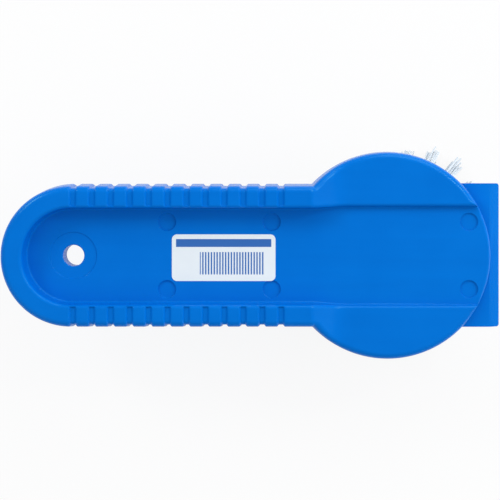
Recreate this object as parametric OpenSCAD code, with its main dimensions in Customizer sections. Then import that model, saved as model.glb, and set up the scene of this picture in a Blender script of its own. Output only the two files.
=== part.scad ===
// Hand scrub brush: a one-piece moulded back with a channelled grip, a round
// head, a scraper blade, rings of anchored bristle tufts and a paper label.
// The brush stands on its bristle tips, handle towards -X, origin below its middle.

/* [Overall] */
// Length from the end of the handle to the scraper's edge
overall_len = 192.4; // [188:0.2:198]
// Length of the bristles below the head
trim_len = 28; // [22:1:34]

/* [Handle] */
// Width at the widest line, low on the side
handle_w = 55.5; // [53:0.5:58]
// Height from the underside to the top of the rims
handle_h = 18; // [16:0.5:20]
// Height of the widest line above the underside
waist_h = 5.5; // [5.5:0.5:7]
// Lean of the outer walls above the widest line, degrees
wall_draft = 5; // [2:0.5:7]
// Radius along the bottom edge of the handle
belly_r = 5; // [2:0.5:5]
// Radius on the outer top edge of the rims
rim_outer_r = 1.2; // [0.5:0.1:2]

/* [Channel] */
// Width of the channel between the rims of the handle
channel_w = 36.9; // [34:0.1:39]
// Width of the channel across the head
head_channel_w = 38.1; // [36:0.1:40]
// Thickness left under the channel's floor
floor_t = 10; // [9.5:0.5:12]
// Radius on the inner top edge of the rims
rim_inner_r = 0.8; // [0.3:0.1:1.2]
// Radius on the channel's edges across the head
head_inner_r = 1.2; // [0.8:0.1:1.6]

/* [Grip grooves] */
// Number of grooves along each rim
groove_n = 12; // [6:1:13]
// Distance from one groove to the next
groove_pitch = 7.2; // [6.5:0.1:7.4]
// Width of a groove at its mouth
groove_w = 3; // [2:0.1:3.6]
// Depth of a groove
groove_d = 0.65; // [0.3:0.05:0.9]

/* [Hanging hole] */
// Diameter of the hole
hole_d = 8.2; // [6:0.1:10]
// Diameter of the shallow ring round the hole
hole_ring_d = 18; // [14:0.5:22]

/* [Head] */
// Diameter of the head at its widest line
head_d = 80.4; // [78:0.2:82]
// Place of the head's centre along the brush
head_x = 52.8; // [51:0.1:54]
// Height of the head's top face above the underside
head_h = 12.5; // [12.2:0.1:13.5]
// Radius round the head's top edge
head_top_r = 2.6; // [1.5:0.1:3]
// Radius round the head's bottom edge
head_bottom_r = 2; // [1:0.1:2.5]
// Lean of the ramp where the rims drop to the head, degrees
ramp_angle = 27; // [24:1:32]

/* [Scraper] */
// Thickness of the blade
blade_t = 3; // [2.4:0.1:4]
// Length of the bevel at the blade's edge
bevel_len = 3.4; // [2.5:0.1:4.5]
// Thickness left at the blade's edge
edge_t = 0.9; // [0.6:0.1:1.4]

/* [Tufts] */
// Diameter of a tuft's hole
socket_d = 4.4; // [4:0.1:4.6]
// Depth of a tuft's hole
socket_depth = 8; // [6:0.5:8]
// Strands drawn for each tuft
strand_n = 5; // [4:1:6]
// Width of a drawn strand from corner to corner
strand_w = 1.1; // [0.9:0.05:1.2]
// Outward lean of the outer tufts over their length
splay = 5; // [3:0.1:5.5]
// Extra lean of a few outer tufts on one side
stray_lean = 7; // [0:0.5:7.5]

/* [Label] */
// Length of the label
label_len = 40; // [34:0.5:44]
// Width of the label
label_w = 18; // [14:0.5:20]
// Thickness of the label
label_t = 0.12; // [0.1:0.01:0.2]

/* [Hidden] */
$fn = 96;
eps = 0.01;
far = 120; // longer than any cut needs

plastic = "#0070d6";
filament = "#e6edf2";
steel = "#b8bcc0";
paper = "#f4f6f8";

// Handle: the end is a half round about end_x
half_w = handle_w / 2;
end_x = -overall_len / 2 + half_w;
tip_x = overall_len / 2;
rim_half_w = half_w - (handle_h - waist_h) * tan(wall_draft);
channel_d = handle_h - floor_t;
channel_draft = 2;
channel_half = channel_w / 2;
channel_floor_half = channel_half - channel_d * tan(channel_draft);

// Ramp: a small round over, a straight fall and a wide hollow down to the head
ramp_x = 22.8;
over_r = 3;
hollow_r = 14;
drop = handle_h - head_h;
fall_len = (drop - (over_r + hollow_r) * (1 - cos(ramp_angle))) / sin(ramp_angle);
fall_x = ramp_x + over_r * sin(ramp_angle);
fall_z = handle_h - over_r * (1 - cos(ramp_angle));
ramp_end_x = fall_x + fall_len * cos(ramp_angle) + hollow_r * sin(ramp_angle);
ramp_mitre_x = ramp_end_x - hollow_r * sin(ramp_angle) / 2;
neck_x = 23.5;

// Rings of tufts, from the rim of the head inwards
ring_r = [34, 27, 20, 13, 6];
ring_n = [28, 22, 16, 11, 5];
// The underside between the tufts of a ring goes with them, as a thin slice
slice_t = 1;
slice_w = 3;
anchor_size = [4.2, 0.4, 1.8];
anchor_z = socket_depth - 2.4;
// All tufts lean a little towards the scraper, and strays lie about one angle
field_lean = [1.8, -1.4];
stray_angle = 58;
stray_spread = 24;
// A tuft's outer strands stand on one circle at the root and on a wider one at the tip
fan_root_r = 1.35;
fan_tip_r = 2.3;
strand_sink = 0.4;

// Marks that the ejector pins leave on the channel's floor
pin_mark_d = 6.5;
pin_mark_depth = 0.4;
pin_mark_y = 13;
pin_mark_x = [-32.3, 8.1, 84.3];

label_x = -10.4;
label_y = -0.8;
label_corner_r = 2;

// Removes the sharp corner at p, between the directions a and b, down to a radius r
module corner_cut(p, a, b, r) {
    ua = a / norm(a);
    ub = b / norm(b);
    half = acos(ua * ub) / 2;
    mid = (ua + ub) / norm(ua + ub);
    centre = p + mid * r / sin(half);
    reach = r / tan(half);
    difference() {
        polygon([p - mid * eps, p + ua * reach, centre, p + ub * reach]);
        translate(centre) circle(r);
    }
}

// Half of the handle's section, without its channel, from the middle to the wall
module handle_half_section() {
    difference() {
        polygon([
            [0, 0], [half_w, 0], [half_w, waist_h], [rim_half_w, handle_h], [0, handle_h]
        ]);
        corner_cut([half_w, 0], [-1, 0], [0, 1], belly_r);
        corner_cut([rim_half_w, handle_h], [-1, 0], [half_w - rim_half_w, waist_h - handle_h],
            rim_outer_r);
    }
}

// Half of the channel's section, with the round on the rim's inner edge
module channel_half_section() {
    polygon([
        [0, floor_t], [channel_floor_half, floor_t], [channel_half, handle_h],
        [channel_half + rim_inner_r, handle_h], [channel_half + rim_inner_r, handle_h + 1],
        [0, handle_h + 1]
    ]);
    difference() {
        translate([channel_half - eps, handle_h - rim_inner_r])
            square([rim_inner_r + eps, rim_inner_r + eps]);
        translate([channel_half + rim_inner_r, handle_h - rim_inner_r]) circle(rim_inner_r);
    }
}

// Sweeps a half section round the end of the handle and along it to the place to_x
module sweep_along_handle(to_x) {
    translate([end_x, 0, 0]) {
        rotate([0, 0, 90]) rotate_extrude(angle = 180) children();
        rotate([90, 0, 90]) linear_extrude(height = to_x - end_x) {
            children();
            mirror([1, 0]) children();
        }
    }
}

// Everything above the rims, the ramp and the head's top face
module above_ramp() {
    over = [for (i = [0:4]) let (a = ramp_angle * i / 4)
        [ramp_x + over_r * sin(a), handle_h - over_r * (1 - cos(a))]];
    hollow = [for (i = [0:8]) let (a = ramp_angle * (1 - i / 8))
        [ramp_end_x - hollow_r * sin(a), head_h + hollow_r * (1 - cos(a))]];
    rotate([90, 0, 0]) linear_extrude(height = far, center = true)
        polygon(concat(over, hollow, [[far, head_h], [far, far], [ramp_x, far]]));
}

// The head before its top is cut: a short drum with leaning walls
module head_drum() {
    top_r = head_d / 2 - (handle_h - waist_h) * tan(wall_draft);
    translate([head_x, 0, 0]) rotate_extrude() difference() {
        polygon([
            [0, 0], [head_d / 2, 0], [head_d / 2, waist_h], [top_r, handle_h], [0, handle_h]
        ]);
        corner_cut([head_d / 2, 0], [-1, 0], [0, 1], head_bottom_r);
    }
}

// Ring that rounds a drum's top edge: the drum has the radius r at the height z
module edge_ring(r, z) {
    rotate_extrude() translate([r - head_top_r, z - head_top_r]) difference() {
        square(head_top_r * 3);
        circle(head_top_r);
    }
}

// Rounds the head's edge: a level ring for its face, and a tilted one for the ramp
module head_edge_cut() {
    wall_r = head_d / 2 - (head_h - head_top_r - waist_h) * tan(wall_draft);
    intersection() {
        translate([head_x, 0, 0]) edge_ring(wall_r, head_h);
        translate([ramp_mitre_x, -far / 2, 0]) cube([far, far, far]);
    }
    // The tilted ring meets the head's outline at two places on the ramp
    x_a = neck_x + 0.5;
    x_b = ramp_mitre_x - 1;
    y_a = sqrt(pow(wall_r - 0.2, 2) - pow(head_x - x_a, 2));
    y_b = sqrt(pow(wall_r - 0.2, 2) - pow(head_x - x_b, 2));
    tilt_x = (x_a + x_b + (y_b * y_b - y_a * y_a) * pow(cos(ramp_angle), 2) / (x_b - x_a)) / 2;
    tilt_r = sqrt(pow((x_a - tilt_x) / cos(ramp_angle), 2) + y_a * y_a);
    tilt_z = fall_z - (tilt_x - fall_x) * tan(ramp_angle);
    intersection() {
        translate([tilt_x, 0, tilt_z]) rotate([0, ramp_angle, 0]) edge_ring(tilt_r, 0);
        translate([neck_x, -far / 2, 0]) cube([ramp_mitre_x - neck_x, far, far]);
    }
}

// Channel between the rims, open where it leaves the head
module channel_cut() {
    sweep_along_handle(ramp_x) channel_half_section();
    // It widens a little along the ramp
    steps = 8;
    side = [for (i = [0:steps]) let (t = i / steps)
        [ramp_x + (ramp_end_x - ramp_x) * t,
            channel_half + (head_channel_w - channel_w) / 2 * (1 - cos(180 * t)) / 2]];
    outline = concat([[ramp_x - eps, channel_half]], side, [[far, head_channel_w / 2]]);
    translate([0, 0, floor_t]) linear_extrude(height = far)
        polygon(concat(outline, [for (i = [len(outline) - 1:-1:0]) [outline[i][0], -outline[i][1]]]));
    // Round on the channel's edges across the head
    for (side_y = [0, 1]) translate([ramp_end_x, 0, 0]) mirror([0, side_y, 0])
        rotate([90, 0, 90]) linear_extrude(height = far) difference() {
            translate([head_channel_w / 2 - eps, head_h - head_inner_r])
                square([head_inner_r + eps, head_inner_r + 1]);
            translate([head_channel_w / 2 + head_inner_r, head_h - head_inner_r])
                circle(head_inner_r);
        }
}

// Rounds the edge where the channel's floor runs out of the head
module channel_mouth_cut() {
    mouth_r = 1.3;
    wall_r = head_d / 2 - (floor_t - mouth_r - waist_h) * tan(wall_draft);
    intersection() {
        translate([head_x, 0, 0]) rotate_extrude() translate([wall_r - mouth_r, floor_t - mouth_r])
            difference() {
                square([mouth_r * 3, mouth_r + eps]);
                circle(mouth_r);
            }
        translate([head_x, -head_channel_w / 2, 0]) cube([far, head_channel_w, far]);
    }
}

// One groove across a rim and down its outer wall to the widest line
module grip_groove() {
    mouth = groove_w / 2;
    bed = mouth - groove_d;
    flare = 2;
    slot = [[-mouth - flare, flare], [-mouth, 0], [-bed, -groove_d], [bed, -groove_d], [mouth, 0],
        [mouth + flare, flare]];
    // Across the top of the rim
    translate([0, channel_half + head_inner_r, handle_h]) rotate([90, 0, 180])
        linear_extrude(height = half_w) polygon(slot);
    // Down the leaning wall
    translate([0, half_w, waist_h]) rotate([wall_draft, 0, 0])
        linear_extrude(height = handle_h) polygon(slot);
}

module grip_grooves() {
    first_x = end_x + 1;
    for (i = [0:groove_n - 1]) translate([first_x + i * groove_pitch, 0, 0]) {
        grip_groove();
        mirror([0, 1, 0]) grip_groove();
    }
}

// Through hole with eased edges, in a shallow round recess
module hang_hole_cut() {
    ease = 0.5;
    recess = 0.3;
    translate([end_x, 0, 0]) {
        translate([0, 0, -1]) cylinder(d = hole_d, h = floor_t + 2);
        translate([0, 0, floor_t - recess]) cylinder(d = hole_ring_d, h = 1);
        rotate_extrude() difference() {
            translate([0, -1]) square([hole_d / 2 + ease, 1 + ease]);
            translate([hole_d / 2 + ease, ease]) circle(ease);
        }
        translate([0, 0, floor_t - recess]) rotate_extrude() difference() {
            translate([0, -ease]) square([hole_d / 2 + ease, 2 * ease]);
            translate([hole_d / 2 + ease, -ease]) circle(ease);
        }
    }
}

module pin_marks() {
    for (x = pin_mark_x) for (y = [-pin_mark_y, pin_mark_y])
        translate([x, y, floor_t - pin_mark_depth]) cylinder(d = pin_mark_d, h = 1);
}

// Flat blade that leaves the head at its widest line, bevelled on its top face
module scraper_blade() {
    corner_r = 1;
    inner_w = handle_w - 2 * corner_r;
    intersection() {
        translate([0, 0, waist_h - blade_t]) linear_extrude(height = blade_t) {
            translate([head_x, -half_w]) square([tip_x - corner_r - head_x, handle_w]);
            translate([head_x, -inner_w / 2]) square([tip_x - head_x, inner_w]);
            for (y = [-inner_w / 2, inner_w / 2]) translate([tip_x - corner_r, y])
                circle(corner_r);
        }
        rotate([90, 0, 0]) linear_extrude(height = far, center = true) polygon([
            [head_x, 0], [tip_x, 0], [tip_x, waist_h - blade_t + edge_t],
            [tip_x - bevel_len, waist_h], [head_x, waist_h]
        ]);
    }
}

// Places of one ring's tufts on the head: each child is drawn there
function tuft_angle(k, i) = (i + (k % 2) / 2) * 360 / ring_n[k];

function tuft_place(k, i) = [head_x + ring_r[k] * cos(tuft_angle(k, i)),
    ring_r[k] * sin(tuft_angle(k, i)), 0];

module at_tufts(k) {
    for (i = [0:ring_n[k] - 1]) translate(tuft_place(k, i)) children();
}

// The slice of the head's underside that carries a ring of tufts, and the roots in their holes
module ring_roots(k) {
    translate([head_x, 0, 0]) difference() {
        cylinder(r = ring_r[k] + slice_w / 2, h = slice_t);
        translate([0, 0, -1]) cylinder(r = ring_r[k] - slice_w / 2, h = slice_t + 2);
    }
    at_tufts(k) cylinder(d = socket_d, h = socket_depth, $fn = 32);
}

module brush_back() {
    color(plastic) translate([0, 0, trim_len]) difference() {
        union() {
            sweep_along_handle(head_x) handle_half_section();
            head_drum();
            scraper_blade();
        }
        above_ramp();
        head_edge_cut();
        channel_cut();
        channel_mouth_cut();
        grip_grooves();
        hang_hole_cut();
        pin_marks();
        for (k = [0:len(ring_r) - 1]) ring_roots(k);
    }
}

module label() {
    inner = [label_len - 2 * label_corner_r, label_w - 2 * label_corner_r];
    color(paper) translate([label_x, label_y, trim_len + floor_t]) linear_extrude(height = label_t) {
        square([label_len, inner[1]], center = true);
        square([inner[0], label_w], center = true);
        for (x = [-0.5, 0.5]) for (y = [-0.5, 0.5])
            translate([x * inner[0], y * inner[1]]) circle(label_corner_r);
    }
}

// Flat wire anchors that pin the folded filaments at the bottom of their holes
module ring_anchors(k) {
    at_tufts(k) translate([-anchor_size[0] / 2, -anchor_size[1] / 2, anchor_z]) cube(anchor_size);
}

// How far a tuft leans over its length, along and across the brush
function tuft_reach(k, i) =
    let (a = tuft_angle(k, i), off = (a > 180 ? a - 360 : a) - stray_angle)
    let (stray = k == 0 ? stray_lean * exp(-pow(off / stray_spread, 2)) : 0)
    let (out = splay * pow(ring_r[k] / ring_r[0], 2) + stray)
    [out * cos(a), out * sin(a)] + field_lean;

// A straight four-sided strand from the root p on the underside to the place q at the tips
module strand(p, q) {
    d = [q[0] - p[0], q[1] - p[1], -trim_len];
    translate([p[0], p[1], 0]) rotate([0, acos(d[2] / norm(d)), atan2(d[1], d[0])])
        translate([0, 0, -strand_sink])
            cylinder(d = strand_w, h = norm(d) + strand_sink + strand_w, $fn = 4);
}

// Strands of one tuft: one in the middle and the rest fanning out round it
module tuft_strands(k, i) {
    reach = tuft_reach(k, i);
    fan_n = strand_n - 1;
    strand([0, 0], reach);
    for (j = [0:fan_n - 1]) let (a = tuft_angle(k, i) + 45 + j * 360 / fan_n, u = [cos(a), sin(a)])
        strand(fan_root_r * u, reach + fan_tip_r * u);
}

module tufts(k) {
    color(filament) difference() {
        translate([0, 0, trim_len]) {
            difference() {
                ring_roots(k);
                ring_anchors(k);
            }
            for (i = [0:ring_n[k] - 1]) translate(tuft_place(k, i)) tuft_strands(k, i);
        }
        // The tips are trimmed level
        translate([-far, -far, -far]) cube([3 * far, 2 * far, far]);
    }
}

module anchors(k) {
    color(steel) translate([0, 0, trim_len]) ring_anchors(k);
}

module tufts_ring_1() { tufts(0); }
module tufts_ring_2() { tufts(1); }
module tufts_ring_3() { tufts(2); }
module tufts_ring_4() { tufts(3); }
module tufts_ring_5() { tufts(4); }
module anchors_ring_1() { anchors(0); }
module anchors_ring_2() { anchors(1); }
module anchors_ring_3() { anchors(2); }
module anchors_ring_4() { anchors(3); }
module anchors_ring_5() { anchors(4); }

brush_back();
label();
tufts_ring_1();
tufts_ring_2();
tufts_ring_3();
tufts_ring_4();
tufts_ring_5();
anchors_ring_1();
anchors_ring_2();
anchors_ring_3();
anchors_ring_4();
anchors_ring_5();
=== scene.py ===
# %% [markdown]
# # A hand scrub brush
#
# The brush is one moulded piece of blue plastic with a channelled grip, a round head full of
# bristle tufts and a scraper blade at its nose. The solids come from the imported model. This
# lesson gives the label and the wire anchors their finish, grows the bristles thread by thread,
# and draws the moulded back again with softer edges than the solid has.

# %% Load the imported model
import math

import bmesh
import bpy
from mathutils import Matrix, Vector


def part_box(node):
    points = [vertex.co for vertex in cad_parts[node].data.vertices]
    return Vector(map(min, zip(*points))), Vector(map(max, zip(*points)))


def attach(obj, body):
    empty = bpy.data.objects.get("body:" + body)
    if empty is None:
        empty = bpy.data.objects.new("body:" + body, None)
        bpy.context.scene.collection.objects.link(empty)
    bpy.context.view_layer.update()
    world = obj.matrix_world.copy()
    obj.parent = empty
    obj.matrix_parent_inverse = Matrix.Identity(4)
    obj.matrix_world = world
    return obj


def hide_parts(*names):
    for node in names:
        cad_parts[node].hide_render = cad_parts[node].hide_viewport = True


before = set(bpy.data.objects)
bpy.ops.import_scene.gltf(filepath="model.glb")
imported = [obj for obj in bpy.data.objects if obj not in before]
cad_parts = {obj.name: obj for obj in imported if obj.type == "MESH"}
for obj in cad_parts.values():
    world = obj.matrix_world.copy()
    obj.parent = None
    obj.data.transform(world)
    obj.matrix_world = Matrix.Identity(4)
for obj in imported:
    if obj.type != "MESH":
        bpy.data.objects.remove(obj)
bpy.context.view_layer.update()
mm = 0.001
print("nodes:", sorted(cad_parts))

# %% [markdown]
# ## The camera
#
# The brush was photographed from straight above, with the camera over a point a little right of
# the middle and above it. Looking straight down keeps the sides of the brush upright, and the
# shift slides the picture over so that the brush sits where it does in the photograph.

# %% Hang the camera
camera_data = bpy.data.cameras.new("overhead_camera")
camera_data.sensor_width = 36
camera_data.lens = 94.74
camera_data.shift_x = -0.08
camera_data.shift_y = -0.12
camera_data.clip_start = 0.01
camera = bpy.data.objects.new("overhead_camera", camera_data)
camera.location = (15.2 * mm, 25.33 * mm, 546 * mm)
bpy.context.collection.objects.link(camera)
bpy.context.scene.camera = camera
bpy.context.scene.view_settings.view_transform = "Standard"
print("camera height in mm:", round(camera.location.z / mm))

# %% [markdown]
# ## A short hand for nodes
#
# A finish is a sum of small rules, and a sum is easiest to read as a sum. A Wire holds one
# socket, and adding or multiplying wires places the Math nodes. Its method `to` places any
# other node: it takes the node's type, its settings, and what goes into its sockets.

# %% Wires that can be added and multiplied
class Wire:
    def __init__(self, tree, socket=None):
        self.tree = tree
        self.socket = socket

    def to(self, kind, settings=None, inputs=None, out=0):
        node = self.tree.nodes.new(kind)
        for name, value in (settings or {}).items():
            setattr(node, name, value)
        for name, value in (inputs or {}).items():
            if isinstance(value, Wire):
                self.tree.links.new(value.socket, node.inputs[name])
            else:
                node.inputs[name].default_value = value
        return Wire(self.tree, node.outputs[out] if node.outputs else None)

    def other(self, out):
        """Another output of the same node."""
        return Wire(self.tree, self.socket.node.outputs[out])

    def sum(self, operation, first, second=0.0):
        return self.to("ShaderNodeMath", {"operation": operation}, {0: first, 1: second})

    def __add__(self, other):
        return self.sum("ADD", self, other)

    def __radd__(self, other):
        return self.sum("ADD", other, self)

    def __sub__(self, other):
        return self.sum("SUBTRACT", self, other)

    def __rsub__(self, other):
        return self.sum("SUBTRACT", other, self)

    def __mul__(self, other):
        return self.sum("MULTIPLY", self, other)

    def __rmul__(self, other):
        return self.sum("MULTIPLY", other, self)

    def __truediv__(self, other):
        return self.sum("DIVIDE", self, other)

    def __lt__(self, other):
        return self.sum("LESS_THAN", self, other)

    def __gt__(self, other):
        return self.sum("GREATER_THAN", self, other)


# %% Vectors and colours have nodes of their own
def added(first, second):
    return first.to("ShaderNodeVectorMath", {"operation": "ADD"}, {0: first, 1: second})


def scaled(vector, factor):
    return vector.to("ShaderNodeVectorMath", {"operation": "SCALE"}, {0: vector, "Scale": factor})


def mixed(factor, first, second):
    """Mixes two colours, which are sockets 6 and 7 of a Mix node."""
    return factor.to("ShaderNodeMix", {"data_type": "RGBA"}, {
        0: factor, 6: first, 7: second}, out=2)


print("wire ready")

# %% [markdown]
# ## The plastic
#
# The back is polypropylene, coloured in the mass. It is a saturated blue with a satin skin: the
# mould was lightly polished, so the gloss is soft, and the surface carries a grain too fine to
# see one by one. Where the melt flowed, long faint streaks stay in it. A small bevel in the
# shader stands for the edge radius that every mould has. Its reflections are tinted towards
# blue-green: that is a choice of look, which keeps the blue from turning violet.

# %% Names for colours as they look on screen
def screen(red, green, blue):
    """Turns a screen colour, 0 to 255, into the linear numbers that a shader takes."""
    def linear(c):
        c = c / 255
        return c / 12.92 if c <= 0.04045 else ((c + 0.055) / 1.055) ** 2.4
    return (linear(red), linear(green), linear(blue), 1.0)


def new_finish(name):
    """Starts an empty material, and gives a wire to build on."""
    material = bpy.data.materials.new(name)
    material.use_nodes = True
    material.node_tree.nodes.clear()
    return material, Wire(material.node_tree)


def end_finish(wire, shader):
    wire.to("ShaderNodeOutputMaterial", inputs={"Surface": shader})


print("deep blue in linear numbers:", [round(c, 3) for c in screen(0, 112, 214)])

# %% Blue moulded plastic
def blue_plastic():
    material, w = new_finish("blue_polypropylene")
    place = w.to("ShaderNodeTexCoord", out="Object")
    drawn_out = w.to("ShaderNodeMapping", inputs={"Vector": place, "Scale": (14, 190, 190)})
    streaks = w.to("ShaderNodeTexNoise", inputs={"Vector": drawn_out, "Scale": 1.0, "Detail": 3.0})
    clouds = w.to("ShaderNodeTexNoise", inputs={"Vector": place, "Scale": 55.0, "Detail": 2.0})
    grain = w.to("ShaderNodeTexNoise", inputs={"Vector": place, "Scale": 3800.0, "Detail": 2.0})
    dimple = w.to("ShaderNodeTexNoise", inputs={"Vector": place, "Scale": 900.0, "Detail": 1.0})

    shade = 0.5 * streaks + 0.5 * clouds
    spread = w.to("ShaderNodeMapRange", inputs={
        "Value": shade, "From Min": 0.35, "From Max": 0.65})
    colour = mixed(spread, screen(0, 112, 212), screen(0, 116, 217))
    rough = 0.23 + 0.08 * (clouds - 0.5) + 0.06 * (dimple - 0.5)

    soft_edge = w.to("ShaderNodeBevel", {"samples": 4}, {"Radius": 0.25 * mm})
    fine = w.to("ShaderNodeBump", inputs={
        "Strength": 1.0, "Distance": 0.004 * mm, "Height": grain + dimple, "Normal": soft_edge})
    shader = w.to("ShaderNodeBsdfPrincipled", inputs={
        "Base Color": colour, "Roughness": rough, "IOR": 1.49, "Specular IOR Level": 0.3,
        "Specular Tint": (0.3, 0.85, 0.6, 1.0), "Normal": fine})
    end_finish(w, shader)
    return material


plastic = blue_plastic()
print("made", plastic.name)

# %% [markdown]
# ## The label
#
# The label is a coated slip, stuck down in the channel. What was printed on it is not copied.
# It gets a plain blue band and a block of even lines, so that it still reads as printed matter.
# Each shape is a mask: a product of steps that is 1 inside the shape and 0 outside.

# %% Coated label with a plain band and even lines
def inside(value, low, high):
    """1 where the value lies between low and high."""
    return (value > low) * (value < high)


def label_print(low, high):
    material, w = new_finish("coated_label")
    place = w.to("ShaderNodeTexCoord", out="Object")
    x = w.to("ShaderNodeSeparateXYZ", inputs={"Vector": place})
    y, z = x.other("Y"), x.other("Z")
    length, width = high.x - low.x, high.y - low.y

    # The band runs along the upper edge
    side, band_foot, band_head = 0.04 * length, 0.27 * width, 0.10 * width
    band = inside(x, low.x + side, high.x - side)
    band = band * inside(y, high.y - band_foot, high.y - band_head)

    # The even lines stand below it
    lines_left, lines_right = low.x + 0.27 * length, high.x - 0.11 * length
    lines_low, lines_high = low.y + 0.14 * width, low.y + 0.62 * width
    pitch = 1.1 * mm
    lines = (w.sum("FRACT", x / pitch) < 0.5) * inside(x, lines_left, lines_right)
    lines = lines * inside(y, lines_low, lines_high)

    # Only the upper face is printed
    ink = w.sum("MINIMUM", band + lines, 1.0) * (z > high.z - 0.02 * mm)
    fibre = w.to("ShaderNodeTexNoise", inputs={"Vector": place, "Scale": 1500.0, "Detail": 2.0})
    patch = w.to("ShaderNodeTexNoise", inputs={"Vector": place, "Scale": 220.0, "Detail": 2.0})
    paper = mixed(patch, screen(236, 244, 249), screen(242, 249, 252))
    colour = mixed(ink * 0.96, paper, screen(0, 100, 186))
    rough = 0.42 - 0.08 * ink + 0.06 * (patch - 0.5)
    fine = w.to("ShaderNodeBump", inputs={
        "Strength": 1.0, "Distance": 0.004 * mm, "Height": fibre})
    shader = w.to("ShaderNodeBsdfPrincipled", inputs={
        "Base Color": colour, "Roughness": rough, "Normal": fine})
    end_finish(w, shader)
    return material


label_low, label_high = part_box("label")
printed = label_print(label_low, label_high)
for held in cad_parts["label"].material_slots:
    held.material = printed
print("label in mm:", [round((b - a) / mm, 2) for a, b in zip(label_low, label_high)])

# %% [markdown]
# ## The filaments
#
# A bristle is drawn plastic thread, milky and a little glossy. Each thread takes a slightly
# different shade, which the geometry writes on it as an attribute. The anchors that hold the
# tufts are steel wire. They sit deep in their holes, and get the fine long scratches of wire.

# %% Milky filament
def milky_filament():
    material, w = new_finish("milky_filament")
    place = w.to("ShaderNodeTexCoord", out="Object")
    own = w.to("ShaderNodeAttribute", {"attribute_name": "own_shade"}, out="Fac")
    colour = mixed(own, screen(198, 210, 220), screen(228, 235, 241))
    drawn = w.to("ShaderNodeTexNoise", inputs={"Vector": place, "Scale": 1400.0, "Detail": 1.0})
    fine = w.to("ShaderNodeBump", inputs={
        "Strength": 0.6, "Distance": 0.01 * mm, "Height": drawn})
    shader = w.to("ShaderNodeBsdfPrincipled", inputs={
        "Base Color": colour, "Roughness": 0.34 + 0.10 * own, "Normal": fine})
    end_finish(w, shader)
    return material


filament = milky_filament()
print("made", filament.name)

# %% Drawn steel wire for the anchors
def drawn_wire():
    material, w = new_finish("drawn_wire")
    place = w.to("ShaderNodeTexCoord", out="Object")
    along = w.to("ShaderNodeMapping", inputs={"Vector": place, "Scale": (200, 5000, 5000)})
    lines = w.to("ShaderNodeTexNoise", inputs={"Vector": along, "Scale": 1.0, "Detail": 2.0})
    fine = w.to("ShaderNodeBump", inputs={
        "Strength": 0.5, "Distance": 0.005 * mm, "Height": lines})
    shader = w.to("ShaderNodeBsdfPrincipled", inputs={
        "Base Color": screen(196, 198, 200), "Metallic": 1.0,
        "Roughness": 0.28 + 0.12 * lines, "Normal": fine})
    end_finish(w, shader)
    return material


steel = drawn_wire()
anchor_names = [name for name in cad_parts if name.startswith("anchors_ring_")]
for name in anchor_names:
    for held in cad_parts[name].material_slots:
        held.material = steel
print("wire on", len(anchor_names), "rings of anchors")

# %% [markdown]
# ## Growing the tufts
#
# A tuft is a bundle of threads folded in half, driven into a blind hole and held by a wire
# anchor. From below, each hole shows a packed bundle that opens out like a small broom. One
# Geometry Nodes tree grows a whole ring of tufts. A single thread is a thin five-sided tube;
# it is copied to every place, and then each copy is bent between its own root and its own tip.

# %% Sizes that the solids were made from
head_x = 52.8 * mm
underside = 28 * mm
hole_r = 2.2 * mm
ring_r = [r * mm for r in (34, 27, 20, 13, 6)]
ring_n = [28, 22, 16, 11, 5]
field_lean = (1.8 * mm, -1.4 * mm, 0)
print("tufts:", sum(ring_n))

# %% One tree for a ring of tufts
def add_input(tree, name, kind, value):
    socket = tree.interface.new_socket(name, in_out="INPUT", socket_type=kind)
    if kind != "NodeSocketMaterial":
        socket.default_value = value


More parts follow.
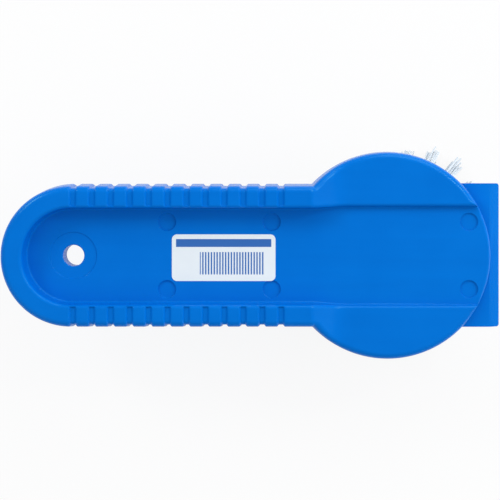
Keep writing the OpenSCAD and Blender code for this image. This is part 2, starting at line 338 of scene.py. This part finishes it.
def tuft_ring_tree():
    tree = bpy.data.node_groups.new("tuft_ring", "GeometryNodeTree")
    tree.interface.new_socket("Geometry", in_out="OUTPUT", socket_type="NodeSocketGeometry")
    for name, kind, value in [
            ("Tufts", "NodeSocketInt", 28), ("Threads", "NodeSocketInt", 36),
            ("Ring Radius", "NodeSocketFloat", 0.034), ("First Angle", "NodeSocketFloat", 0.0),
            ("Centre", "NodeSocketVector", (0.0, 0.0, 0.0)),
            ("Bundle Radius", "NodeSocketFloat", 0.002),
            ("Thread Radius", "NodeSocketFloat", 0.00024),
            ("Length", "NodeSocketFloat", 0.028), ("Sunk", "NodeSocketFloat", 0.004),
            ("Splay", "NodeSocketFloat", 0.005), ("Lean", "NodeSocketVector", (0.0, 0.0, 0.0)),
            ("Stray", "NodeSocketFloat", 0.0), ("Stray Angle", "NodeSocketFloat", 1.0),
            ("Stray Spread", "NodeSocketFloat", 0.4), ("Opening", "NodeSocketFloat", 0.4),
            ("Seed", "NodeSocketInt", 1), ("Material", "NodeSocketMaterial", None)]:
        add_input(tree, name, kind, value)
    given = tree.nodes.new("NodeGroupInput")
    w = Wire(tree)

    def asked(name):
        return Wire(tree, given.outputs[name])

    def chance(low, high, salt):
        """A different number for every thread, the same in every run."""
        return w.to("FunctionNodeRandomValue", {"data_type": "FLOAT"}, {
            2: low, 3: high, "Seed": asked("Seed") * 31 + salt}, out=1)

    # Which tuft a thread belongs to, and which thread it is in the tuft
    number = w.to("GeometryNodeInputIndex")
    tuft = w.sum("FLOOR", number / asked("Threads") + 0.0001)
    thread = number - tuft * asked("Threads")
    angle = asked("First Angle") + tuft * (2 * math.pi) / asked("Tufts")
    cosine = w.sum("COSINE", angle)
    sine = w.sum("SINE", angle)
    outward = w.to("ShaderNodeCombineXYZ", inputs={"X": cosine, "Y": sine})

    # Threads fill the round bundle like the seeds of a sunflower, each a golden turn on, and no
    # two neighbouring tufts are turned alike
    golden_turn, tuft_turn = 2.39996, 1.7
    turn = thread * golden_turn + tuft * tuft_turn
    reach = w.sum("SQRT", (thread + 0.5) / asked("Threads")) * asked("Bundle Radius")
    spot = w.to("ShaderNodeCombineXYZ", inputs={
        "X": w.sum("COSINE", turn) * reach, "Y": w.sum("SINE", turn) * reach})
    hole = added(asked("Centre"), scaled(outward, asked("Ring Radius")))
    root = added(hole, spot)

    # Every tip moves out with its tuft, away from its neighbours, and by chance
    from_stray = w.to("ShaderNodeMath", {"operation": "WRAP"}, {
        0: angle - asked("Stray Angle"), 1: math.pi, 2: -math.pi})
    off = from_stray / asked("Stray Spread")
    stray = asked("Stray") * w.sum("EXPONENT", -1 * (off * off))
    away = asked("Splay") + stray * chance(0.55, 1.12, 3)
    tip_far, bow_far, trim_far = 0.35 * mm, 0.3 * mm, 0.5 * mm
    jitter = w.to("ShaderNodeCombineXYZ", inputs={
        "X": chance(-tip_far, tip_far, 5), "Y": chance(-tip_far, tip_far, 6)})
    with_tuft = added(scaled(outward, away), asked("Lean"))
    shift = added(with_tuft, added(scaled(spot, asked("Opening")), jitter))
    bow = w.to("ShaderNodeCombineXYZ", inputs={
        "X": chance(-bow_far, bow_far, 7), "Y": chance(-bow_far, bow_far, 8)})

    # One point for each thread, carrying what its copy needs
    points = w.to("GeometryNodePoints", inputs={"Count": asked("Tufts") * asked("Threads")})
    for name, kind, value in [
            ("root", "FLOAT_VECTOR", root), ("shift", "FLOAT_VECTOR", shift),
            ("bow", "FLOAT_VECTOR", bow), ("own_shade", "FLOAT", chance(0.0, 1.0, 9)),
            ("trim", "FLOAT", chance(0.0, trim_far, 10))]:
        points = w.to("GeometryNodeStoreNamedAttribute", {"data_type": kind, "domain": "POINT"}, {
            "Geometry": points, "Name": name, "Value": value})

    # The thread itself, one unit long, with its own height written on it
    tube = w.to("GeometryNodeMeshCylinder", {"fill_type": "NGON"}, {
        "Vertices": 5, "Side Segments": 6, "Radius": 1.0, "Depth": 1.0})
    on_points = {"data_type": "FLOAT_VECTOR", "domain": "POINT"}
    tube = w.to("GeometryNodeStoreNamedAttribute", on_points, {
        "Geometry": tube, "Name": "own_place", "Value": w.to("GeometryNodeInputPosition")})
    copies = w.to("GeometryNodeInstanceOnPoints", inputs={"Points": points, "Instance": tube})
    threads = w.to("GeometryNodeRealizeInstances", inputs={"Geometry": copies})

    def kept(name, kind="FLOAT_VECTOR"):
        return w.to("GeometryNodeInputNamedAttribute", {"data_type": kind}, {"Name": name})

    # Down the thread: from a little inside the hole to the trimmed tip
    place = w.to("ShaderNodeSeparateXYZ", inputs={"Vector": kept("own_place")})
    along = 0.5 - place.other("Z")
    whole = asked("Length") + asked("Sunk")
    depth = along * (whole - kept("trim", "FLOAT"))
    free = w.sum("MAXIMUM", (depth - asked("Sunk")) / asked("Length"), 0.0)
    round_x = place * asked("Thread Radius")
    round_y = place.other("Y") * asked("Thread Radius")
    ring = w.to("ShaderNodeCombineXYZ", inputs={
        "X": round_x, "Y": round_y, "Z": asked("Sunk") - depth})

    # It leans more and more towards its tip, and bows in between
    bend_power = 1.25
    leaning = scaled(kept("shift"), w.sum("POWER", free, bend_power))
    bowed = scaled(kept("bow"), w.sum("SINE", free * math.pi))
    bent = added(kept("root"), added(ring, added(leaning, bowed)))
    threads = w.to("GeometryNodeSetPosition", inputs={"Geometry": threads, "Position": bent})
    threads = w.to("GeometryNodeRealizeInstances", inputs={"Geometry": threads})
    threads = w.to("GeometryNodeSetMaterial", inputs={
        "Geometry": threads, "Material": asked("Material")})
    out = tree.nodes.new("NodeGroupOutput")
    tree.links.new(threads.socket, out.inputs["Geometry"])
    return tree


ring_tree = tuft_ring_tree()
print("tree of", len(ring_tree.nodes), "nodes")

# %% Turning a tree into a plain mesh
def grown(name, tree, **values):
    """Runs a tree with these inputs, and keeps the result as a plain mesh object."""
    carrier = bpy.data.objects.new(name + "_carrier", bpy.data.meshes.new(name + "_carrier"))
    bpy.context.collection.objects.link(carrier)
    modifier = carrier.modifiers.new("grow", "NODES")
    modifier.node_group = tree
    for item in tree.interface.items_tree:
        key = item.name.replace(" ", "_").lower()
        if item.item_type == "SOCKET" and item.in_out == "INPUT" and key in values:
            modifier[item.identifier] = values[key]
    ready = carrier.evaluated_get(bpy.context.evaluated_depsgraph_get())
    mesh = bpy.data.meshes.new_from_object(ready)
    mesh.name = name
    carrier.modifiers.remove(modifier)
    bpy.data.objects.remove(carrier)
    piece = bpy.data.objects.new(name, mesh)
    bpy.context.collection.objects.link(piece)
    return piece


print("grown() ready")

# %% Grow the five rings
threads_in_tuft = 26
for k in range(5):
    piece = grown(
        f"bristles_ring_{k + 1}", ring_tree, tufts=ring_n[k], threads=threads_in_tuft,
        ring_radius=ring_r[k], first_angle=(k % 2) * math.pi / ring_n[k],
        centre=(head_x, 0.0, underside), bundle_radius=hole_r - 0.3 * mm,
        thread_radius=0.32 * mm, length=underside, sunk=4 * mm,
        splay=5 * mm * (ring_r[k] / ring_r[0]) ** 2, lean=field_lean,
        stray=9.6 * mm if k == 0 else 0.0, stray_angle=math.radians(54),
        stray_spread=math.radians(24), opening=0.4, seed=11 + k, material=filament)
    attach(piece, "root")
    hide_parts(f"tufts_ring_{k + 1}")
    print(piece.name, len(piece.data.polygons), "faces")

# %% [markdown]
# ## The moulded back
#
# The solid back has narrow rounds, and grooves with straight sides. The real one is softer: a
# wide round runs along its outer top edge, the grip grooves carry on over that round and down
# the wall, and the channel's edge stays rounded all the way down the ramp. So the back is drawn
# again here as a skin.
#
# The skin is a row of stations. They go round the end of the handle, along it, about the neck
# and round the head to its nose. Each station is one cut through half the brush, from the
# middle of the channel's floor out to the wall and back underneath to the middle. A Bevel
# modifier could round the solid's edges instead. Stations were chosen because each of them says
# outright where the skin lies, so that a groove can run over a rounded edge.

# %% Sizes of the back, in millimetres
top_z, head_z, floor_z, waist_z = 18.0, 12.5, 10.0, 5.5
half_w, head_r = 27.75, 40.2
end_x, head_mid = -68.45, 52.8
wall_angle = 5
wall_lean = math.tan(math.radians(wall_angle))
rim_r, inner_r, mouth_r = 2.6, 1.3, 1.3
belly_r, head_belly_r = 5, 2
neck_start = 23.5
print("back from", end_x - half_w, "to", head_mid + head_r, "mm without its blade")

# %% The ramp, seen from the side
ramp_start, ramp_end = 22.8, 37.7
over_r, hollow_r, ramp_lean = 3.0, 14.0, math.radians(27)


def blend(low, high, value):
    """0 below low, 1 above high, and a smooth S between them."""
    t = min(1.0, max(0.0, (value - low) / (high - low)))
    return t * t * (3 - 2 * t)


def top_height(x):
    """The top at x: the rims, a round start of the ramp, its slope, its hollow and the head."""
    fall_x = ramp_start + over_r * math.sin(ramp_lean)
    fall_z = top_z - over_r * (1 - math.cos(ramp_lean))
    hollow_z = head_z + hollow_r * (1 - math.cos(ramp_lean))
    hollow_x = fall_x + (fall_z - hollow_z) / math.tan(ramp_lean)
    hollow_end = hollow_x + hollow_r * math.sin(ramp_lean)
    if x < ramp_start:
        return top_z
    if x < fall_x:
        return top_z - over_r + math.sqrt(over_r ** 2 - (x - ramp_start) ** 2)
    if x < hollow_x:
        return fall_z - (x - fall_x) * math.tan(ramp_lean)
    if x < hollow_end:
        return head_z + hollow_r - math.sqrt(hollow_r ** 2 - (hollow_end - x) ** 2)
    return head_z


print("ramp from", top_height(20), "down to", top_height(40))

# %% The grip grooves and the channel
groove_n, groove_pitch, groove_d = 12, 7.2, 0.8
groove_half, lip_half, lip_r = 1.69, 1.3, 0.5
lip_drop, side_slope = 0.185, 1.23
first_groove = end_x + 1
channel_half, head_channel_half = 18.45, 19.05
channel_lean = math.tan(math.radians(2))
foot_r = 0.8


def groove_depth(x):
    """How deep the grip grooves are at x: a flat bed, steep sides and rounded lips."""
    nearest = min(max(round((x - first_groove) / groove_pitch), 0), groove_n - 1)
    off = abs(x - first_groove - nearest * groove_pitch)
    if off > groove_half:
        return 0.0
    if off > lip_half:
        return lip_r - math.sqrt(lip_r ** 2 - (groove_half - off) ** 2)
    return min(groove_d, lip_drop + (lip_half - off) * side_slope)


def channel_edge(x):
    """Half the channel's width: it grows a little as the rims fall to the head."""
    growth = head_channel_half - channel_half
    return channel_half + growth * blend(ramp_start, ramp_end, x)


def channel_gap(x, y):
    """How far a point of the rim stands from the channel's edge."""
    return math.hypot(x - end_x, y) - channel_half if x < end_x else y - channel_edge(x)


def rounded(gap, r):
    """How far a rounded edge lies below its corner, this far in from it."""
    return r - math.sqrt(max(0.0, r * r - (r - max(0.0, gap)) ** 2)) if gap < r else 0.0


print("grooves", groove_depth(first_groove), "mm deep")

# %% The inner half of a station
across_floor = (0, 0.3, 0.6, 0.85, 1)


def between(start, end, shares, z):
    """Points at height z, at these shares of the way from start to end."""
    (ax, ay), (bx, by) = start[:2], end[:2]
    return [(ax + (bx - ax) * share, ay + (by - ay) * share, z) for share in shares]


def channel_and_rim(middle, inner, out, width, reach):
    """The floor, the foot, the wall, the inner round and the flat top of the rim."""
    (edge_x, edge_y), (out_x, out_y) = inner, out
    rim_z = top_height(edge_x)
    bed_z = rim_z - groove_depth(edge_x)
    wall_high = rim_z - floor_z
    wall_in = wall_high * channel_lean

    def inset(far, z):
        return (edge_x - out_x * far, edge_y - out_y * far, z)

    points = between(middle, inset(wall_in + foot_r, 0), across_floor, floor_z)
    for turn in (20, 45, 70):
        turn = math.radians(turn)
        z = floor_z + foot_r * (1 - math.cos(turn))
        points.append(inset(wall_in + foot_r * (1 - math.sin(turn)), z))
    for share in (0.0, 0.5):
        z = floor_z + foot_r + (max(wall_high - inner_r, foot_r) - foot_r) * share
        points.append(inset((rim_z - z) * channel_lean, z))

    # The inner round widens where the cut crosses it at a slant, and a groove starts well up it
    slant = max(0.25, abs(out_y)) if edge_x >= end_x else 1.0
    inner_end = min(inner_r / slant, 0.4 * width)
    outer_start = max(width - reach, 0.6 * width)
    round_turns, groove_from = (0, 12, 25, 40, 55, 72, 90), 5
    steps = [inner_end * (1 - math.cos(math.radians(turn))) for turn in round_turns]
    steps += [inner_end + (outer_start - inner_end) * share for share in (0.05, 0.35, 0.7, 1.0)]
    for n, step in enumerate(steps):
        x, y = edge_x + out_x * step, edge_y + out_y * step
        z = max(floor_z, top_height(x) - rounded(channel_gap(x, y), inner_r))
        if n >= groove_from and bed_z < rim_z:
            z = min(z, bed_z)
        points.append((x, y, z))
    return points, width - outer_start


first_half, rim_left = channel_and_rim((0, 0), (0, channel_half), (0, 1), 8.0, rim_r)
print(len(first_half), "points, and", round(rim_left, 2), "mm are left for the outer round")

# %% One whole station
def station(middle, inner, outline, out, edge_r, low_r, open_end=False):
    """Points of one cut. The outline gives the wall's place at any height, out points outwards."""
    out_x, out_y = out
    top = (lambda x: floor_z) if open_end else top_height
    corner_x, corner_y = outline(top(outline(top_z)[0]))
    width = math.hypot(corner_x - inner[0], corner_y - inner[1])
    groove = 0.0 if open_end else groove_depth(inner[0])
    reach = edge_r * math.tan(math.radians((90 - wall_angle) / 2))
    if open_end:
        # A flat floor takes as many points as the wall and the rim do elsewhere
        strip, rim_points = 0.25, 16
        start = (corner_x - out_x * reach, corner_y - out_y * reach)
        before = (start[0] - out_x * strip, start[1] - out_y * strip)
        shares = [(n + 1) / rim_points for n in range(rim_points)]
        points = between(middle, before, across_floor, floor_z)
        points += between(before, start, shares, floor_z)
        edge = reach
    else:
        points, edge = channel_and_rim(middle, inner, out, width, reach)

    # Over the outer round, until it meets the leaning wall
    for turn in (10, 20, 30, 40, 50, 60, 70, 78, 90 - wall_angle):
        turn = math.radians(turn)
        drop = edge_r * (1 - math.cos(turn))
        left = (reach - edge_r * math.sin(turn) + drop * wall_lean) * edge / reach
        wall_x, wall_y = outline(top(corner_x) - drop)
        back_in = left + groove * math.sin(turn)
        z = top(corner_x - out_x * left) - drop
        if not open_end:
            z -= rounded(channel_gap(wall_x - out_x * back_in, wall_y - out_y * back_in), inner_r)
        z = max(floor_z - mouth_r, z) - groove * math.cos(turn)
        points.append((wall_x - out_x * back_in, wall_y - out_y * back_in, z))

    # Down the wall to the widest line, and round the belly to the middle
    low = points[-1][2]
    for share in (0.25, 0.5, 0.75, 1.0):
        z = low + (waist_z - low) * share
        wall_x, wall_y = outline(z)
        points.append((wall_x - out_x * groove, wall_y - out_y * groove, z))
    wall_x, wall_y = outline(waist_z)
    for turn in (0, 12, 25, 38, 52, 70, 90):
        turn = math.radians(turn)
        inset = max(groove, low_r * (1 - math.cos(turn)))
        z = low_r * (1 - math.sin(turn))
        points.append((wall_x - out_x * inset, wall_y - out_y * inset, z))
    return points + between(points[-1], middle, (0.25, 0.5, 0.75, 1), 0.0)


sample = station((0, 0), (0, channel_half), lambda z: (0, 27.0), (0, 1), rim_r, belly_r)
print("a station has", len(sample), "points")

# %% The walls that the stations reach
def direction(turn):
    """The way outwards, turned this many degrees from +X."""
    return math.cos(math.radians(turn)), math.sin(math.radians(turn))


def handle_wall(x):
    return lambda z: (x, half_w - (z - waist_z) * wall_lean)


def round_wall(middle_x, widest, out):
    """The wall round a middle, straight outwards from it."""
    def wall(z):
        r = widest - (z - waist_z) * wall_lean
        return (middle_x + r * out[0], r * out[1])
    return wall


def neck_wall(z):
    """The corner where the handle's wall meets the head's."""
    y = half_w - (z - waist_z) * wall_lean
    r = head_r - (z - waist_z) * wall_lean
    return (head_mid - math.sqrt(r * r - y * y), y)


print("neck at", [round(c, 2) for c in neck_wall(top_z)])

# %% Stations round the end of the handle
stations = []
turns = [180 - 3 * n for n in range(29)]
turns += [93, 92.2, 91.9, 91.6, 91.3, 90.9, 90.6, 90.25]
for turn in turns:
    out = direction(turn)
    inner = (end_x + channel_half * out[0], channel_half * out[1])
    wall = round_wall(end_x, half_w, out)
    stations.append(station((end_x, 0), inner, wall, out, rim_r, belly_r))
print(len(stations), "stations round the end")

# %% Stations along the handle, closest together at the sides of the grooves
from_groove = [0, 0.4, 0.78, 0.84, 1.07, 1.3, 1.38, 1.48, 1.58, 1.72, 2.1, 2.9]
places = {round(end_x + 0.01, 3), 14.8, 16.5, 18.2, 20, 21.5, 22.8, 23.1, 23.4}
for n in range(groove_n):
    groove_x = first_groove + groove_pitch * n
    for off in from_groove:
        places |= {round(groove_x + off, 3), round(groove_x - off, 3)}
for x in sorted(place for place in places if end_x < place < neck_start):
    inner = (x, channel_edge(x))
    stations.append(station((x, 0), inner, handle_wall(x), (0, 1), rim_r, belly_r))
print(len(stations), "with the handle")

# %% Stations about the corner of the neck, like a fan
fan, neck_turn, neck_growth = 8, 46.2, 0.4
neck_x, neck_y = neck_wall(top_z)
half_fan = 4  # The channel's width is taken here, this far past the corner, for the whole fan
for n in range(fan + 1):
    share = n / fan
    out = direction(90 + neck_turn * share)
    x = neck_x - out[0] / out[1] * (neck_y - channel_edge(neck_x + half_fan))
    inner = (x, channel_edge(x))
    edge_r = rim_r + neck_growth * share
    low_r = belly_r - (belly_r - head_belly_r) * share
    stations.append(station((x, 0), inner, neck_wall, out, edge_r, low_r))
print(len(stations), "with the neck")

# %% Stations round the head, to where the channel runs out
# The outer round is wider where the rims fall down the ramp
ramp_growth = 0.8
turns = [135.4 - 1.4 * n for n in range(70)]
turns += [36.2, 35, 34, 33, 32, 31.2, 30.5, 29.9, 29.4, 29.1, 28.9]
for turn in turns:
    out = direction(turn)
    slope = out[0] / out[1]
    x = head_mid + channel_edge(head_mid + head_channel_half * slope) * slope
    inner = (x, channel_edge(x))
    edge_r = rim_r + ramp_growth * blend(24, 27, x) * (1 - blend(33, 41, x))
    wall = round_wall(head_mid, head_r, out)
    stations.append(station((x, 0), inner, wall, out, edge_r, head_belly_r))
print(len(stations), "with the head")

# %% Stations across the open end of the channel, to the nose
# The round is narrower next to the rims' last station, so that no faces cross there
open_turn, mouth_x, corner_drop = 28.75, 87.6, 0.8
for turn in [open_turn, 28.2, 27] + [25 - 2.5 * n for n in range(11)]:
    out = direction(turn)
    middle = (mouth_x + 3 * (1 - turn / open_turn), 0)
    edge_r = mouth_r - corner_drop * blend(22, open_turn, turn)
    wall = round_wall(head_mid, head_r, out)
    stations.append(station(middle, middle, wall, out, edge_r, head_belly_r, open_end=True))
print(len(stations), "stations in all")

# %% Sew the stations into a skin
def solid(name, points, faces):
    """A closed mesh from points in millimetres, with doubled points joined."""
    work = bmesh.new()
    corners = [work.verts.new((x * mm, y * mm, z * mm + underside)) for x, y, z in points]
    for face in faces:
        work.faces.new([corners[n] for n in face])
    bmesh.ops.remove_doubles(work, verts=work.verts, dist=0.0005 * mm)
    bmesh.ops.dissolve_degenerate(work, dist=0.0005 * mm, edges=work.edges)
    bmesh.ops.recalc_face_normals(work, faces=work.faces)
    open_edges = sum(not edge.is_manifold for edge in work.edges)
    print(name, len(work.faces), "faces,", open_edges, "open edges")
    mesh = bpy.data.meshes.new(name)
    work.to_mesh(mesh)
    work.free()
    piece = bpy.data.objects.new(name, mesh)
    bpy.context.collection.objects.link(piece)
    return piece


# The half that the stations draw, and its mirror image, meet on the middle line
across = len(stations[0])
points, faces = [], []
for side in (1, -1):
    first = len(points)
    points += [(x, y * side, z) for row in stations for x, y, z in row]
    for i in range(len(stations) - 1):
        for j in range(across - 1):
            n = first + i * across + j
            face = [n, n + 1, n + 1 + across, n + across]
            faces.append(face if side > 0 else face[::-1])
moulded = solid("moulded_back", points, faces)

# %% [markdown]
# ## The blade, the hanging hole and the sockets
#
# The scraper blade is moulded on at the nose. The hanging hole goes right through the end of the
# handle, each ejector pin left a shallow round mark on the channel's floor, and each tuft has a
# blind hole. They could be drawn into the stations, but then every station would have to know
# about them. A Boolean adds or cuts each of them as its own simple body instead.

# %% Turned bodies, and joining them
def turned(profile, places, sides=48):
    """Points and faces of a turned body, from its profile of radius and height, at many places."""
    points, faces = [], []
    for mid_x, mid_y in places:
        for r, z in profile:
            first = len(points)
            turns = [2 * math.pi * n / sides for n in range(sides)]
            points += [(mid_x + r * math.cos(a), mid_y + r * math.sin(a), z) for a in turns]
            if (r, z) == profile[0]:
                faces.append(list(range(first, first + sides))[::-1])
            else:
                faces += [[first - sides + n, first - sides + (n + 1) % sides,
                           first + (n + 1) % sides, first + n] for n in range(sides)]
        faces.append(list(range(first, first + sides)))
    return points, faces


def joined(piece, tool, operation):
    """Adds the tool to the piece, or cuts it away, and keeps a plain mesh."""
    change = piece.modifiers.new("join", "BOOLEAN")
    change.operation, change.object, change.solver = operation, tool, "EXACT"
    ready = piece.evaluated_get(bpy.context.evaluated_depsgraph_get())
    piece.data = bpy.data.meshes.new_from_object(ready)
    piece.modifiers.remove(change)
    bpy.data.objects.remove(tool)
    print(operation.lower(), "leaves", len(piece.data.polygons), "faces")


print("cutters ready")

# %% The blade: a row of upright rectangles, which narrow at its rounded corners
blade_start, bevel_x, tip_x = 60, 92.9, 96.8
half_blade, corner_r = 27.95, 1
blade_low, edge_z = 2.5, 3.4
blade_x = [blade_start, bevel_x] + [tip_x - corner_r + 0.1 * n for n in range(11)]
loops, faces = [], []
for x in blade_x:
    high = min(waist_z, edge_z + (waist_z - edge_z) * (tip_x - x) / (tip_x - bevel_x))
    into_corner = max(0.0, x - tip_x + corner_r)
    half = half_blade - corner_r + math.sqrt(max(0.0, corner_r ** 2 - into_corner ** 2))
    loops += [(x, -half, blade_low), (x, half, blade_low), (x, half, high), (x, -half, high)]
for first in range(0, len(loops) - 4, 4):
    for n in range(4):
        after = (n + 1) % 4
        faces.append([first + n, first + after, first + 4 + after, first + 4 + n])
faces += [[3, 2, 1, 0], list(range(len(loops) - 4, len(loops)))]
joined(moulded, solid("blade", loops, faces), "UNION")

# %% The hanging hole, with eased edges, in a shallow round recess
quarter = [math.radians(turn) for turn in (0, 22.5, 45, 67.5, 90)]
ease, bore_r, recess_r, recess_z = 0.5, 4.6, 9, 9.7
bore = [(bore_r, -1)]
bore += [(bore_r - ease * math.sin(a), ease - ease * math.cos(a)) for a in quarter]
bore += [(bore_r - ease * math.cos(a), recess_z - ease + ease * math.sin(a)) for a in quarter]
bore += [(recess_r, recess_z), (recess_r + 0.15, floor_z), (recess_r + 0.15, floor_z + 1)]
joined(moulded, solid("bore", *turned(bore, [(end_x, 0)], 72)), "DIFFERENCE")

# %% The marks of the ejector pins
pin_r, pin_d, pin_ease = 3.5, 0.6, 0.2
marks = [(x, y) for x in (-32.3, 8.1, 84.3) for y in (-13, 13)]
pin = [(pin_r - pin_ease, floor_z - pin_d), (pin_r, floor_z - pin_d + pin_ease)]
pin += [(pin_r, floor_z + 1)]
joined(moulded, solid("marks", *turned(pin, marks)), "DIFFERENCE")

# %% The blind holes for the tufts
socket_d = 8
holes = []
for k in range(5):
    for n in range(ring_n[k]):
        a = (n + (k % 2) / 2) * 2 * math.pi / ring_n[k]
        r = ring_r[k] / mm
        holes.append((head_mid + r * math.cos(a), r * math.sin(a)))
drill = [(hole_r / mm, -1), (hole_r / mm, socket_d)]
joined(moulded, solid("sockets", *turned(drill, holes, 32)), "DIFFERENCE")

# %% Smooth its rounds and put it in place
moulded.data.shade_smooth()
moulded.data.set_sharp_from_angle(angle=math.radians(32))
even = moulded.modifiers.new("even", "WEIGHTED_NORMAL")
even.keep_sharp = True
ready = moulded.evaluated_get(bpy.context.evaluated_depsgraph_get())
moulded.data = bpy.data.meshes.new_from_object(ready)
moulded.modifiers.remove(even)
moulded.data.name = "moulded_back"
moulded.data.materials.clear()
moulded.data.materials.append(plastic)
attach(moulded, "root")
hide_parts("brush_back")
print("moulded_back", len(moulded.data.polygons), "faces")

# %% [markdown]
# ## Floor and light
#
# The photograph is cut out on white. To the camera most of the floor's light is its own glow,
# so that it reads as white, and the rest takes the brush's shadow. Reflections see less of that
# glow. The light is a studio of soft boxes: a low one on the right, one behind, two smaller ones
# that draw the bright lines along the round edges, a faint one in front, and a dim even sky. The
# low box and the sky light the plastic but stay out of its reflections. Both were chosen from
# measured colours, to keep the flat faces a clear blue.

# %% White floor
def white_floor():
    material, w = new_finish("white_floor")
    seen = w.to("ShaderNodeLightPath", out="Is Camera Ray")
    glossy, through = seen.other("Is Glossy Ray"), seen.other("Is Transmission Ray")
    speck = w.to("ShaderNodeTexNoise", inputs={
        "Vector": w.to("ShaderNodeTexCoord", out="Object"), "Scale": 40.0})
    matt = w.to("ShaderNodeBsdfPrincipled", inputs={
        "Base Color": (0.9, 0.9, 0.9, 1.0), "Roughness": 0.85 + 0.05 * speck,
        "Specular IOR Level": 0.0})
    glow = w.to("ShaderNodeEmission", inputs={"Color": (1.0, 1.0, 1.0, 1.0), "Strength": 1.0})
    part = w.sum("MINIMUM", seen + 0.3 * glossy + through, 1.0) * 0.88
    end_finish(w, w.to("ShaderNodeMixShader", inputs={0: part, 1: matt, 2: glow}))
    return material


bpy.ops.mesh.primitive_plane_add(size=4, location=(0, 0, -0.02 * mm))
floor = bpy.context.object
floor.name = "floor"
floor.data.materials.append(white_floor())
print("floor", floor.dimensions.x, "m wide")

# %% Soft boxes and a dim sky
aim, far_off = (0.01, 0, 0.04), 1.1


def soft_box(name, turn, lift, power, wide):
    """A square lamp that looks at the brush, turned from +X and lifted, both in degrees."""
    turn, lift = math.radians(turn), math.radians(lift)
    away = (math.cos(lift) * math.cos(turn), math.cos(lift) * math.sin(turn), math.sin(lift))
    lamp = bpy.data.lights.new(name, "AREA")
    lamp.shape = "RECTANGLE"
    lamp.size = lamp.size_y = wide
    lamp.energy = power
    box = bpy.data.objects.new(name, lamp)
    box.location = [a + far_off * b for a, b in zip(aim, away)]
    box.rotation_euler = (math.pi / 2 - lift, 0, math.pi / 2 + turn)
    bpy.context.collection.objects.link(box)
    return box


low_box = soft_box("box_right", 5, 21, 5.4, 0.9)
low_box.visible_glossy = False
soft_box("box_behind", 72, 27, 3.4, 0.7)
soft_box("box_left", 140, 31, 2.6, 0.28)
soft_box("box_small", 38, 42, 1.6, 0.2)
soft_box("box_near", 225, 35, 0.6, 0.8)
sky = bpy.data.worlds.new("dim_sky")
sky.use_nodes = True
bpy.context.scene.world = sky
sky_wire = Wire(sky.node_tree)
sky.node_tree.nodes.clear()
to_gloss = sky_wire.to("ShaderNodeLightPath", out="Is Glossy Ray")
even_sky = sky_wire.to("ShaderNodeBackground", inputs={
    "Color": (0.96, 0.98, 1.0, 1.0), "Strength": 0.55 * (1 - to_gloss)})
sky_wire.to("ShaderNodeOutputWorld", inputs={"Surface": even_sky})
